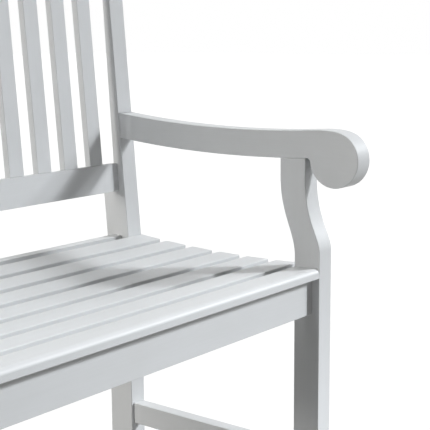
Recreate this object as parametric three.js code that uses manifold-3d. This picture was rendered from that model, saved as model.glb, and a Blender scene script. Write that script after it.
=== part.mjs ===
// A painted wooden rocking bench, in millimetres: X to the right, Y to the back, Z up.
// The origin is on the floor, under the middle of the bench, where the rockers touch down.
import * as THREE from "three";
import { mergeVertices } from "three/addons/utils/BufferGeometryUtils.js";
import Module from "manifold-3d";

const wasm = await Module();
wasm.setup();

// Driving dimensions of the whole bench
const innerWidth = 1109; // clear width between the two side frames
const legWidth = 34; // thickness along X of legs, posts, arms and rockers
const legDepth = 46.1; // front leg, front to back
const postDepth = 51; // rear post below the back rail, front to back
const legSpacing = 399; // front face of the front leg to front face of the rear post
const legFaceToOrigin = 283.2; // the bench balances over the origin at this distance
const seatHeight = 475; // top of the rearmost seat slat at its rear edge
const backLean = 0.0825; // slope of the back, as a share of its height
const fitGap = 0.3; // clearance between pieces that touch
const easedEdge = 1.5; // chamfer on the long edges
const smallEase = 1; // chamfer on thin boards

// Rockers
const rockerRadius = 1800; // underside
const rockerMiddle = 36; // height of the rocker at its middle
const rockerTip = 22; // height of the rocker at its tips
const rockerHalfLength = 350;
const rockerFacets = 21; // an odd count leaves a level land under the middle

// Front legs: each steps back above the seat, in a swan's neck
const neckShift = 27.6; // how far back the neck steps
const neckTop = 134.2; // where the neck becomes straight again, above the seat
const neckFrontStart = 19.7; // where its front edge leaves the straight leg, above the seat
const neckFrontLow = 44.7; // control heights of its front edge
const neckFrontHigh = 66.2;
const neckRearStart = 8.9; // where its rear edge leaves the straight leg, above the seat
const neckRearLow = 49.2; // control heights of its rear edge
const neckRearHigh = 71.6;

// Arms
const armDepth = 42.6; // height of the arm's board
const armTopLow = 202.2; // lowest point of the arm's top, above the seat
const armLowAt = 164.6; // where that point lies, behind the front leg's face
const armRadius = 2192; // sweep of the arm's top edge
const scrollRadius = 42.5;
const scrollReach = 23.2; // its centre, ahead of the front leg's face
const scrollSink = 38.5; // its centre, below the lowest point of the arm's top
const scrollTurn = 0.3; // angle ahead of its top where the arm's top edge runs into it
const shoulderAt = 13.4; // where that edge starts to turn over, behind the front leg's face
const scrollFillet = 6.3; // inside corner between scroll and arm

// Seat
const slatCount = 6; // full slats behind the front one
const slatWidth = 43.4;
const slatThickness = 16.1;
const slatSetback = 1.8; // rearmost slat's rear edge, ahead of the posts' face
const frontSlatWidth = 46.1;
const frontSlatSet = 0.4; // front slat's face, behind the front leg's face
const noseRound = 8.5; // rounding of its upper front edge
const noseFacets = 6; // facets of that rounding
const dishDepth = 10.3; // lowest point of the dished seat, under its rear edge
const dishLowAt = 174.5; // where that point lies, behind the front leg's face

// Rails under the seat
const apronDrop = 78.1; // underside of the aprons and side rails, below the seat
const apronThickness = 19.7;
const frontApronSet = 13.4; // front face of the front apron, behind the front leg's face
const rearApronSet = 16.1; // front face of the rear apron, behind the posts' face
const rearApronRise = 0.9; // its top, above the seat's rear edge
const sideRailThickness = 23.3;
const bearerThickness = 27; // the support under the middle of the slats
const bearerDepth = 40;
const stretcherTop = 168; // top of the side stretcher, above the floor
const stretcherHeight = 37.6;
const stretcherThickness = 23.3;

// Back
const backSlatCount = 18;
const backSlatWidth = 29.5;
const backSlatThickness = 12.5;
const backEndGap = 34.9; // clear space between a post and the slat next to it
const backSlatSet = 13.4; // the slats' faces, behind the posts' faces
const backRailLow = 81.4; // underside of the lower back rail, along the back
const backRailHeight = 48.8;
const backRailThickness = 14.3;
const backRailSet = 13; // its face, behind the posts' faces
const crestLow = 540; // underside of the crest rail, along the back
const crestHeight = 56;
const crestDepth = 38;
const crestAhead = 4.5; // its face, ahead of the posts' faces
const crestRound = 10; // rounding of its upper edges
const stepLow = 77; // where a post's rear edge starts to step in, along the back
const stepHigh = 134.2; // where the step ends
const stepEase = 23.3; // how far the step's curve holds each straight
const bladeLow = 21.5; // depth of the post just above the step
const bladeTop = 13.6; // depth of the post under the crest rail

// Mortise and tenon joints
const tenonThickness = 12;
const tenonLength = 14;
const tenonShoulder = 7; // shoulder above and below a tenon
const backTenonThickness = 8;
const backTenonHeight = 20;
const bearerTenonLength = 9;
const slatTenonShoulder = 3;
const slatTenonLength = 13;
const footTenonDepth = 26; // foot of a leg or post, front to back
const footTenonLength = 12;
const armTenonDepth = 24; // top of a front leg, front to back
const armTenonLength = 16;
const crestTenonWidth = 22; // top of a post, along X
const crestTenonThickness = 7;

// Fasteners
const boltRadius = 3;
const boltHeadRadius = 8;
const boltHeadHeight = 3.5;
const boltLength = 62; // with its head
const boltSink = 5; // how deep its head sits under the wood
const socketRadius = 2.3; // hexagon socket, across its corners
const socketDepth = 2;
const nutRadius = 5;
const nutLength = 11.5;
const nutFromEnd = 20; // axis of a barrel nut to the end of its rail
const nutSlot = 1.2; // width and depth of the slot in its end
const lagRadius = 4;
const lagHeadRadius = 7.5; // across its corners
const lagHeadHeight = 5.3;
const lagLength = 64; // with its head
const lagPoint = 7;
const lagSink = 5; // how deep its head sits under the wood
const lagSinkRadius = 10;
const holeGap = 0.35; // clearance round a fastener
const roundSides = 16; // facets of a round fastener
const hexSides = 6;

// Places worked out from the sizes above
const quarterTurn = Math.PI / 2;
const frontFace = -legFaceToOrigin;
const postFace = frontFace + legSpacing;
const legMiddle = frontFace + legDepth / 2;
const postMiddle = postFace + postDepth / 2;
const sideFrameX = (innerWidth + legWidth) / 2;
const outerWidth = innerWidth + legWidth + legWidth;
const leanAngle = Math.atan(backLean);
const apronLow = seatHeight - apronDrop;
const underSeat = seatHeight - dishDepth - slatThickness;

const woodPaint = { color: 0xe1e3e4, roughness: 0.48, metalness: 0 };
const seatPaint = { color: 0xe4e6e8, roughness: 0.44, metalness: 0 };
const zincSteel = { color: 0xb9bdc1, roughness: 0.35, metalness: 0.95 };

// The back has its own frame: Y behind the posts' faces, Z along the lean, from the seat up
const bench = new THREE.Group();
const back = new THREE.Group();
back.position.set(0, postFace, seatHeight);
back.rotation.x = -leanAngle;
back.updateMatrix();
bench.add(back);

// Geometry of a mesh as a manifold solid, and back again
function solidOf(geometry) {
  const bare = geometry.clone();
  bare.deleteAttribute("normal");
  bare.deleteAttribute("uv");
  const merged = mergeVertices(bare);
  const vertProperties = merged.attributes.position.array;
  const triVerts = new Uint32Array(merged.index.array);
  return new wasm.Manifold(new wasm.Mesh({ numProp: 3, vertProperties, triVerts }));
}

function geometryOf(solid) {
  const mesh = solid.getMesh();
  const geometry = new THREE.BufferGeometry();
  geometry.setAttribute("position", new THREE.BufferAttribute(mesh.vertProperties, 3));
  geometry.setIndex(new THREE.BufferAttribute(mesh.triVerts, 1));
  geometry.computeVertexNormals();
  return geometry;
}

function joined(geometry, additions, cuts) {
  let solid = solidOf(geometry);
  additions.forEach((piece) => {
    solid = solid.add(solidOf(piece));
  });
  cuts.forEach((piece) => {
    solid = solid.subtract(solidOf(piece));
  });
  return geometryOf(solid);
}

function place(group, name, geometry, finish) {
  const mesh = new THREE.Mesh(geometry, new THREE.MeshStandardMaterial(finish));
  mesh.name = name;
  group.add(mesh);
  return mesh;
}

// A piece made for the right side, and its mirror image on the left
function placePair(group, name, geometry, finish) {
  place(group, `${name}_right`, geometry, finish);
  place(group, `${name}_left`, geometry, finish).scale.x = -1;
}

// A block between two corners
function block(x0, x1, y0, y1, z0, z1) {
  const geometry = new THREE.BoxGeometry(x1 - x0, y1 - y0, z1 - z0);
  return geometry.translate((x0 + x1) / 2, (y0 + y1) / 2, (z0 + z1) / 2);
}

// A round piece turned about Y, from pairs of radius and place along Y
function turned(pairs, count = roundSides) {
  const profile = pairs.map(([radius, along]) => new THREE.Vector2(radius, along));
  return new THREE.LatheGeometry(profile, count);
}

// Boards extruded along an axis of the bench
const across = new THREE.Vector3(1, 0, 0);
const toTheBack = new THREE.Vector3(0, 1, 0);
const toTheFront = new THREE.Vector3(0, -1, 0);
const upward = new THREE.Vector3(0, 0, 1);

function extruded(shape, length, ease, curveSegments) {
  const geometry = new THREE.ExtrudeGeometry(shape, {
    depth: length - ease - ease,
    curveSegments,
    bevelEnabled: ease > 0,
    bevelThickness: ease,
    bevelSize: ease,
    bevelOffset: -ease,
    bevelSegments: 1,
  });
  return geometry.translate(0, 0, ease);
}

// A side view in Y and Z, with a thickness along X centred on a place
function sideView(shape, x, thickness, ease, curveSegments = 12) {
  const geometry = extruded(shape, thickness, ease, curveSegments);
  geometry.applyMatrix4(new THREE.Matrix4().makeBasis(toTheBack, upward, across));
  return geometry.translate(x - thickness / 2, 0, 0);
}

// A section in X and Z that runs along Y
function lengthwise(outline, front, rear) {
  const geometry = extruded(new THREE.Shape(outline), rear - front, 0, 1);
  geometry.applyMatrix4(new THREE.Matrix4().makeBasis(across, upward, toTheFront));
  return geometry.translate(0, rear, 0);
}

// A rectangle with chamfered corners
function easedOutline(u0, u1, v0, v1, ease) {
  return [
    [u0 + ease, v0],
    [u1 - ease, v0],
    [u1, v0 + ease],
    [u1, v1 - ease],
    [u1 - ease, v1],
    [u0 + ease, v1],
    [u0, v1 - ease],
    [u0, v0 + ease],
  ].map(([u, v]) => new THREE.Vector2(u, v));
}

// Tenons: each block reaches into its own piece, and grow makes it the mortise of the other
function uprightTenon(x, y, shoulder, width, thickness, length, grow) {
  const halfWidth = width / 2 + grow;
  const halfThickness = thickness / 2 + grow;
  const reach = length + grow;
  const [x0, x1] = [x - halfWidth, x + halfWidth];
  return block(x0, x1, y - halfThickness, y + halfThickness, shoulder - reach, shoulder + reach);
}

function lengthwiseTenon(x, front, rear, low, high, grow) {
  const half = tenonThickness / 2 + grow;
  return block(x - half, x + half, front - grow, rear + grow, low - grow, high + grow);
}

// Rockers: the underside and the tips are arcs about one centre, the top edge is a flatter arc
const rockerCentreline = rockerRadius - rockerTip / 2;
const tipAngle = Math.asin((rockerHalfLength - rockerTip / 2) / rockerCentreline);
const facetAngle = (tipAngle + tipAngle) / rockerFacets;
const rockerCentreZ = rockerRadius * Math.cos(facetAngle / 2);
const topEndY = (rockerRadius - rockerTip) * Math.sin(tipAngle);
const topEndZ = rockerCentreZ - (rockerRadius - rockerTip) * Math.cos(tipAngle);
const topRise = topEndZ - rockerMiddle;
const rockerTopRadius = (topEndY ** 2 + topRise ** 2) / (topRise + topRise);

function rockerTopAt(y) {
  return rockerMiddle + rockerTopRadius - Math.sqrt(rockerTopRadius ** 2 - y ** 2);
}

function rockerUndersideAt(y) {
  return rockerCentreZ - Math.sqrt(rockerRadius ** 2 - y ** 2);
}

function rockerPoint(angle) {
  return [rockerRadius * Math.sin(angle), rockerCentreZ - rockerRadius * Math.cos(angle)];
}

function rockerShape() {
  const tipRadius = rockerTip / 2;
  const tipY = rockerCentreline * Math.sin(tipAngle);
  const tipZ = rockerCentreZ - rockerCentreline * Math.cos(tipAngle);
  const frontTip = quarterTurn - tipAngle;
  const shape = new THREE.Shape();
  shape.moveTo(...rockerPoint(-tipAngle));
  for (let i = 1; i <= rockerFacets; i += 1) {
    shape.lineTo(...rockerPoint(i * facetAngle - tipAngle));
  }
  shape.absarc(tipY, tipZ, tipRadius, tipAngle - quarterTurn, tipAngle + quarterTurn, false);
  for (let i = rockerFacets - 1; i > 0; i -= 1) {
    const y = topEndY * ((i + i) / rockerFacets - 1);
    shape.lineTo(y, rockerTopAt(y));
  }
  shape.absarc(-tipY, tipZ, tipRadius, frontTip, frontTip + Math.PI, false);
  return shape;
}

// Arms: both edges sweep about one centre, and the top edge turns over into the scroll's circle
const armCentreY = frontFace + armLowAt;
const armCentreZ = seatHeight + armTopLow + armRadius;
const armUnderRadius = armRadius + armDepth;
const scrollY = frontFace - scrollReach;
const scrollZ = seatHeight + armTopLow - scrollSink;
const shoulderY = frontFace + shoulderAt;
const shoulderZ = armTopAt(shoulderY);

function armUndersideAt(y) {
  return armCentreZ - Math.sqrt(armUnderRadius ** 2 - (y - armCentreY) ** 2);
}

function armTopAt(y) {
  return armCentreZ - Math.sqrt(armRadius ** 2 - (y - armCentreY) ** 2);
}

// A point of the scroll, at an angle ahead of its top
function scrollPoint(ahead) {
  const y = scrollY - scrollRadius * Math.sin(ahead);
  return [y, scrollZ + scrollRadius * Math.cos(ahead)];
}

function armShape() {
  const cornerY = scrollY + scrollRadius;
  const filletY = cornerY + scrollFillet;
  const filletAngle = Math.asin(scrollFillet / scrollRadius);
  const pastPost = postFace + postDepth + postDepth;
  const rearTop = Math.asin((pastPost - armCentreY) / armRadius) - quarterTurn;
  const rearUnder = Math.asin((pastPost - armCentreY) / armUnderRadius) - quarterTurn;
  const frontUnder = Math.asin((filletY - armCentreY) / armUnderRadius) - quarterTurn;
  const frontTop = Math.asin((shoulderY - armCentreY) / armRadius) - quarterTurn;
  const scrollTop = quarterTurn + scrollTurn;
  const [turnY, turnZ] = scrollPoint(scrollTurn);
  const rise = (armCentreY - shoulderY) / (armCentreZ - shoulderZ);
  const fall = Math.tan(scrollTurn);
  const handleY = (turnZ - shoulderZ - fall * turnY - rise * shoulderY) / (-rise - fall);
  const handleZ = shoulderZ + rise * (shoulderY - handleY);
  const shape = new THREE.Shape();
  shape.moveTo(filletY, armUndersideAt(filletY));
  shape.quadraticCurveTo(cornerY, armUndersideAt(cornerY), ...scrollPoint(-quarterTurn - filletAngle));
  shape.absarc(scrollY, scrollZ, scrollRadius, -filletAngle, scrollTop, true);
  shape.quadraticCurveTo(handleY, handleZ, shoulderY, shoulderZ);
  shape.absarc(armCentreY, armCentreZ, armRadius, frontTop, rearTop, false);
  shape.absarc(armCentreY, armCentreZ, armUnderRadius, rearUnder, frontUnder, true);
  return shape;
}

// A point of the back's side view: depth behind the posts' faces, height along the back
function backPoint(depth, height) {
  const y = postFace + depth * Math.cos(leanAngle) + height * Math.sin(leanAngle);
  const z = seatHeight + height * Math.cos(leanAngle) - depth * Math.sin(leanAngle);
  return [y, z];
}

// The space an arm leaves free for the post it ends at
function postSpace() {
  const shape = new THREE.Shape();
  shape.moveTo(...backPoint(-fitGap, 0));
  shape.lineTo(...backPoint(-fitGap, crestLow));
  shape.lineTo(...backPoint(legSpacing, crestLow));
  shape.lineTo(...backPoint(legSpacing, 0));
  return sideView(shape, sideFrameX, outerWidth, 0);
}

function frontLegShape() {
  const rearFace = frontFace + legDepth;
  const neckFront = frontFace + neckShift;
  const neckRear = rearFace + neckShift;
  const neckZ = seatHeight + neckTop;
  const frontLow = seatHeight + neckFrontLow;
  const frontHigh = seatHeight + neckFrontHigh;
  const frontStart = seatHeight + neckFrontStart;
  const rearLow = seatHeight + neckRearLow;
  const rearHigh = seatHeight + neckRearHigh;
  const shape = new THREE.Shape();
  shape.moveTo(frontFace, rockerTopAt(frontFace) + fitGap);
  shape.lineTo(rearFace, rockerTopAt(rearFace) + fitGap);
  shape.lineTo(rearFace, seatHeight + neckRearStart);
  shape.bezierCurveTo(rearFace, rearLow, neckRear, rearHigh, neckRear, neckZ);
  shape.lineTo(neckRear, armUndersideAt(neckRear) - fitGap);
  shape.lineTo(neckFront, armUndersideAt(neckFront) - fitGap);
  shape.lineTo(neckFront, neckZ);
  shape.bezierCurveTo(neckFront, frontHigh, frontFace, frontLow, frontFace, frontStart);
  return shape;
}

// The post is deep up to the lower back rail, and a slender blade above it
function bladeDepthAt(height) {
  return bladeLow - ((bladeLow - bladeTop) * (height - stepHigh)) / (crestLow - stepHigh);
}

function rearPostShape() {
  const rearFace = postFace + postDepth;
  const top = crestLow - fitGap;
  const lowHandle = backPoint(postDepth, stepLow + stepEase);
  const highHandle = backPoint(bladeDepthAt(stepHigh - stepEase), stepHigh - stepEase);
  const shape = new THREE.Shape();
  shape.moveTo(postFace, rockerTopAt(postFace) + fitGap);
  shape.lineTo(rearFace, rockerTopAt(rearFace) + fitGap);
  shape.lineTo(rearFace, seatHeight - postDepth * Math.tan(leanAngle / 2));
  shape.lineTo(...backPoint(postDepth, stepLow));
  shape.bezierCurveTo(...lowHandle, ...highHandle, ...backPoint(bladeLow, stepHigh));
  shape.lineTo(...backPoint(bladeDepthAt(top), top));
  shape.lineTo(...backPoint(0, top));
  shape.lineTo(postFace, seatHeight);
  return shape;
}

// Seat slats: each is flat and lies along the dished line of the seat
const slatRear = legSpacing - slatSetback;
const slatsDepth = slatRear - frontSlatSet - frontSlatWidth;
const slatPitch = slatsDepth / slatCount;
const dishReach = slatRear - dishLowAt;
const dishRadius = (dishReach ** 2 + dishDepth ** 2) / (dishDepth + dishDepth);

function dishTopAt(distance) {
  const lowest = seatHeight - dishDepth;
  return lowest + dishRadius - Math.sqrt(dishRadius ** 2 - (distance - dishLowAt) ** 2);
}

const seatSlats = [];
for (let i = 0; i < slatCount; i += 1) {
  const rear = slatRear - i * slatPitch;
  seatSlats.push({ name: `seat_slat_${i + 1}`, front: rear - slatWidth, rear });
}
const frontSlatRear = frontSlatSet + frontSlatWidth;
const frontSlat = { name: "seat_front_slat", front: frontSlatSet, rear: frontSlatRear };

function placeSlat(slat, length, outlineOf) {
  const rise = dishTopAt(slat.rear) - dishTopAt(slat.front);
  const run = slat.rear - slat.front;
  const tilted = new THREE.Group();
  tilted.position.set(0, frontFace + slat.front, dishTopAt(slat.front));
  tilted.rotation.x = Math.atan2(rise, run);
  bench.add(tilted);
  const section = new THREE.Shape(outlineOf(Math.hypot(rise, run)));
  place(tilted, slat.name, sideView(section, 0, length, smallEase), seatPaint);
}

function slatOutline(width) {
  return easedOutline(0, width, -slatThickness, 0, smallEase);
}

// The front slat's upper front edge is rounded over, down to an upright face
function frontSlatOutline(width) {
  const outline = [];
  for (let i = 0; i <= noseFacets; i += 1) {
    const angle = quarterTurn + (quarterTurn * i) / noseFacets;
    const y = noseRound + noseRound * Math.cos(angle);
    outline.push(new THREE.Vector2(y, noseRound * Math.sin(angle) - noseRound));
  }
  outline.push(new THREE.Vector2(0, smallEase - slatThickness));
  outline.push(new THREE.Vector2(smallEase, -slatThickness));
  outline.push(new THREE.Vector2(width, -slatThickness));
  outline.push(new THREE.Vector2(width, -smallEase));
  outline.push(new THREE.Vector2(width - smallEase, 0));
  return outline;
}

seatSlats.forEach((slat) => placeSlat(slat, outerWidth, slatOutline));
placeSlat(frontSlat, innerWidth - fitGap - fitGap, frontSlatOutline);

// The line under all the slats, from front to back, that the pieces under them follow
const carryLine = [frontSlat, ...seatSlats.toReversed()].flatMap(({ front, rear }) => [
  new THREE.Vector2(frontFace + front, dishTopAt(front) - slatThickness - fitGap),
  new THREE.Vector2(frontFace + rear, dishTopAt(rear) - slatThickness - fitGap),
]);

function carryHeightAt(y) {
  const after = carryLine.findIndex((point) => point.x >= y);
  if (after < 0) return carryLine.at(-1).y;
  const [a, b] = [carryLine[after - 1], carryLine[after]];
  return a.y + ((b.y - a.y) * (y - a.x)) / (b.x - a.x);
}

function carrierShape(front, rear, low) {
  const shape = new THREE.Shape();
  shape.moveTo(front, low);
  shape.lineTo(rear, low);
  shape.lineTo(rear, carryHeightAt(rear));
  const between = carryLine.filter((point) => point.x > front && point.x < rear);
  between.toReversed().forEach((point) => shape.lineTo(point.x, point.y));
  shape.lineTo(front, carryHeightAt(front));
  return shape;
}

// Side rails and stretchers run from the front leg to the post, in the middle of their width
const railFront = frontFace + legDepth + fitGap;
const railRear = postFace - fitGap;
const stretcherLow = stretcherTop - stretcherHeight;

function sideTenon(low, high, grow) {
  const [front, rear] = [railFront - tenonLength, railRear + tenonLength];
  return lengthwiseTenon(sideFrameX, front, rear, low, high, grow);
}

const railTenonSpan = [apronLow + tenonShoulder, underSeat - tenonShoulder];
const stretcherTenonSpan = [stretcherLow + tenonShoulder, stretcherTop - tenonShoulder];
const railShape = carrierShape(railFront, railRear, apronLow);
const railBoard = sideView(railShape, sideFrameX, sideRailThickness, 0);
const stretcherOutline = easedOutline(
  sideFrameX - stretcherThickness / 2,
  sideFrameX + stretcherThickness / 2,
  stretcherLow,
  stretcherTop,
  easedEdge,
);
const stretcherBoard = lengthwise(stretcherOutline, railFront, railRear);
const sideRail = joined(railBoard, [sideTenon(...railTenonSpan, 0)], []);
const sideStretcher = joined(stretcherBoard, [sideTenon(...stretcherTenonSpan, 0)], []);
placePair(bench, "seat_side_rail", sideRail, woodPaint);
placePair(bench, "side_stretcher", sideStretcher, woodPaint);

// Rails that cross from one side frame to the other, each in its own group's frame
const frontApronFace = frontFace + frontApronSet;
const rearApronFace = postFace + rearApronSet;
const frontApron = {
  name: "front_apron",
  group: bench,
  face: frontApronFace,
  thickness: apronThickness,
  low: apronLow,
  high: carryHeightAt(frontApronFace + apronThickness),
  tenonSpan: railTenonSpan,
  tenonThickness,
};
const rearApron = {
  name: "rear_apron",
  group: bench,
  face: rearApronFace,
  thickness: apronThickness,
  low: apronLow,
  high: seatHeight + rearApronRise,
  tenonSpan: railTenonSpan,
  tenonThickness,
};
const backTenonLow = backRailLow + tenonShoulder;
const backRail = {
  name: "back_lower_rail",
  group: back,
  face: backRailSet,
  thickness: backRailThickness,
  low: backRailLow,
  high: backRailLow + backRailHeight,
  tenonSpan: [backTenonLow, backTenonLow + backTenonHeight],
  tenonThickness: backTenonThickness,
};

function crossTenon(rail, grow) {
  const middle = rail.face + rail.thickness / 2;
  const half = rail.tenonThickness / 2 + grow;
  const end = innerWidth / 2 + tenonLength + grow;
  const [low, high] = rail.tenonSpan;
  return block(-end, end, middle - half, middle + half, low - grow, high + grow);
}

function crossBoard(rail) {
  const rear = rail.face + rail.thickness;
  const outline = easedOutline(rail.face, rear, rail.low, rail.high, smallEase);
  return sideView(new THREE.Shape(outline), 0, innerWidth - fitGap - fitGap, 0);
}

// Bolts go in from the outside of the side frames, and each meets a barrel nut in its rail
const boltHeadX = outerWidth / 2 - boltSink;
const nutX = innerWidth / 2 - nutFromEnd;

function boltPair(rail) {
  const [low, high] = rail.tenonSpan;
  return [rail.face + rail.thickness / 2, (low + high) / 2];
}

function boltSeated(geometry, rail, side) {
  return geometry.rotateZ(side * quarterTurn).translate(side * boltHeadX, ...boltPair(rail));
}

function boltHole() {
  const sinkRadius = boltHeadRadius + holeGap;
  const shankRadius = boltRadius + holeGap;
  const seat = boltHeadHeight + holeGap;
  return turned([
    [0, -boltSink - boltSink],
    [sinkRadius, -boltSink - boltSink],
    [sinkRadius, seat],
    [shankRadius, seat],
    [shankRadius, boltLength + holeGap],
    [0, boltLength + holeGap],
  ]);
}

function boltBody() {
  const shank = turned([
    [0, 0],
    [boltHeadRadius - smallEase, 0],
    [boltHeadRadius, smallEase],
    [boltHeadRadius, boltHeadHeight],
    [boltRadius, boltHeadHeight],
    [boltRadius, boltLength - smallEase],
    [boltRadius - smallEase, boltLength],
    [0, boltLength],
  ]);
  const socket = turned(
    [
      [0, -socketDepth],
      [socketRadius, -socketDepth],
      [socketRadius, socketDepth],
      [0, socketDepth],
    ],
    hexSides,
  );
  return joined(shank, [], [socket]);
}

function nutHole(rail, side) {
  const [middle, height] = boltPair(rail);
  const deep = -nutLength / 2 - holeGap;
  const hole = turned([
    [0, deep],
    [nutRadius + holeGap, deep],
    [nutRadius + holeGap, rail.thickness],
    [0, rail.thickness],
  ]);
  return hole.translate(side * nutX, middle, height);
}

function nutBody() {
  const half = nutLength / 2;
  const body = turned([
    [0, -half],
    [nutRadius, -half],
    [nutRadius, half],
    [0, half],
  ]);
  const passage = turned([
    [0, -nutLength],
    [boltRadius + holeGap, -nutLength],
    [boltRadius + holeGap, nutLength],
    [0, nutLength],
  ]);
  const slotHalf = nutSlot / 2;
  const slotLow = half - nutSlot;
  const slot = block(-nutLength, nutLength, slotLow, nutLength, -slotHalf, slotHalf);
  return joined(body, [], [passage.rotateZ(quarterTurn), slot]);
}

function placeCrossRail(rail, moreCuts) {
  const cuts = [-1, 1].flatMap((side) => [
    boltSeated(boltHole(), rail, side),
    nutHole(rail, side),
  ]);
  const board = joined(crossBoard(rail), [crossTenon(rail, 0)], [...cuts, ...moreCuts]);
  place(rail.group, rail.name, board, woodPaint);
  placePair(rail.group, `${rail.name}_bolt`, boltSeated(boltBody(), rail, 1), zincSteel);
  const nut = nutBody().translate(nutX, ...boltPair(rail));
  placePair(rail.group, `${rail.name}_nut`, nut, zincSteel);
}

// What a cross rail's end takes out of the leg or post it meets
function crossJointCuts(rail) {
  const cuts = [crossTenon(rail, fitGap), boltSeated(boltHole(), rail, 1)];
  return cuts.map((cut) => cut.applyMatrix4(rail.group.matrix));
}

// The bearer under the middle of the slats, tenoned into both aprons
const bearerFront = frontApronFace + apronThickness + fitGap;
const bearerRear = rearApronFace - fitGap;
const bearerLow = underSeat - bearerDepth;

function bearerTenon(grow) {
  const [front, rear] = [bearerFront - bearerTenonLength, bearerRear + bearerTenonLength];
  const [low, high] = [bearerLow + tenonShoulder, underSeat - tenonShoulder];
  return lengthwiseTenon(0, front, rear, low, high, grow);
}

const bearerShape = carrierShape(bearerFront, bearerRear, bearerLow);
const bearerBoard = sideView(bearerShape, 0, bearerThickness, 0);
place(bench, "seat_centre_bearer", joined(bearerBoard, [bearerTenon(0)], []), woodPaint);

// Back slats stand between the lower rail and the crest rail, tenoned into both
const backPitch = (innerWidth - backEndGap - backEndGap - backSlatWidth) / (backSlatCount - 1);
const backSlatFoot = backRailLow + backRailHeight + fitGap;
const backSlatHead = crestLow - fitGap;
const backSlats = [];
for (let i = 0; i < backSlatCount; i += 1) {
  backSlats.push({ name: `back_slat_${i + 1}`, x: backPitch * (i - (backSlatCount - 1) / 2) });
}

function backSlatTenon(x, grow) {
  const half = backSlatWidth / 2 - slatTenonShoulder + grow;
  const front = backSlatSet + slatTenonShoulder - grow;
  const rear = backSlatSet + backSlatThickness - slatTenonShoulder + grow;
  const [low, high] = [backSlatFoot - slatTenonLength, backSlatHead + slatTenonLength];
  return block(x - half, x + half, front, rear, low - grow, high + grow);
}

backSlats.forEach(({ name, x }) => {
  const half = backSlatWidth / 2;
  const rear = backSlatSet + backSlatThickness;
  const outline = easedOutline(x - half, x + half, backSlatSet, rear, smallEase);
  const board = extruded(new THREE.Shape(outline), backSlatHead - backSlatFoot, 0, 1);
  board.translate(0, 0, backSlatFoot);
  place(back, name, joined(board, [backSlatTenon(x, 0)], []), woodPaint);
});
const backSlatMortises = backSlats.map(({ x }) => backSlatTenon(x, fitGap));

placeCrossRail(frontApron, [bearerTenon(fitGap)]);
placeCrossRail(rearApron, [bearerTenon(fitGap)]);
placeCrossRail(backRail, backSlatMortises);

// The crest rail caps the posts and the slats
function crestShape() {
  const front = -crestAhead;
  const rear = crestDepth - crestAhead;
  const roundZ = crestLow + crestHeight - crestRound;
  const shape = new THREE.Shape();
  shape.moveTo(front + easedEdge, crestLow);
  shape.lineTo(rear - easedEdge, crestLow);
  shape.lineTo(rear, crestLow + easedEdge);
  shape.absarc(rear - crestRound, roundZ, crestRound, 0, quarterTurn, false);
  shape.absarc(front + crestRound, roundZ, crestRound, quarterTurn, Math.PI, false);
  shape.lineTo(front, crestLow + easedEdge);
  return shape;
}

function postTopTenon(x, grow) {
  const [width, thickness] = [crestTenonWidth, crestTenonThickness];
  return uprightTenon(x, bladeTop / 2, crestLow, width, thickness, tenonLength, grow);
}

const postTopMortises = [-sideFrameX, sideFrameX].map((x) => postTopTenon(x, fitGap));
const crestBoard = sideView(crestShape(), 0, outerWidth, easedEdge, 4);
const crestRail = joined(crestBoard, [], [...postTopMortises, ...backSlatMortises]);
place(back, "crest_rail", crestRail, woodPaint);

// Lag bolts: one up through the rocker into each foot, and one through each post into its arm
function lagBody() {
  const head = turned(
    [
      [0, 0],
      [lagHeadRadius, 0],
      [lagHeadRadius, lagHeadHeight],
      [0, lagHeadHeight],
    ],
    hexSides,
  );
  const shank = turned([
    [0, lagHeadHeight / 2],
    [lagRadius, lagHeadHeight / 2],
    [lagRadius, lagLength - lagPoint],
    [0, lagLength],
  ]);
  return joined(head, [shank], []);
}

function lagHole() {
  const seat = lagHeadHeight + holeGap;
  const shankRadius = lagRadius + holeGap;
  return turned([
    [0, -lagSink - lagSink],
    [lagSinkRadius, -lagSink - lagSink],
    [lagSinkRadius, seat],
    [shankRadius, seat],
    [shankRadius, lagLength + holeGap],
    [0, lagLength + holeGap],
  ]);
}

function footLag(geometry, y) {
  return geometry.rotateX(quarterTurn).translate(sideFrameX, y, rockerUndersideAt(y) + lagSink);
}

const armEndY = postFace + backLean * armTopLow;
const armLagHeight = armUndersideAt(armEndY) + armDepth / 2 - seatHeight;

function armLag(geometry) {
  const depth = bladeDepthAt(armLagHeight) - lagSink;
  return geometry.rotateX(Math.PI).translate(sideFrameX, depth, armLagHeight);
}

placePair(bench, "front_foot_lag_bolt", footLag(lagBody(), legMiddle), zincSteel);
placePair(bench, "rear_foot_lag_bolt", footLag(lagBody(), postMiddle), zincSteel);
placePair(back, "arm_lag_bolt", armLag(lagBody()), zincSteel);

// Side frames: rocker, front leg, rear post and arm
const neckMiddle = legMiddle + neckShift;

function footTenon(y, grow) {
  const [width, depth] = [tenonThickness, footTenonDepth];
  return uprightTenon(sideFrameX, y, rockerTopAt(y), width, depth, footTenonLength, grow);
}

function armTenon(grow) {
  const [width, depth] = [tenonThickness, armTenonDepth];
  const shoulder = armUndersideAt(neckMiddle);
  return uprightTenon(sideFrameX, neckMiddle, shoulder, width, depth, armTenonLength, grow);
}

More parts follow.
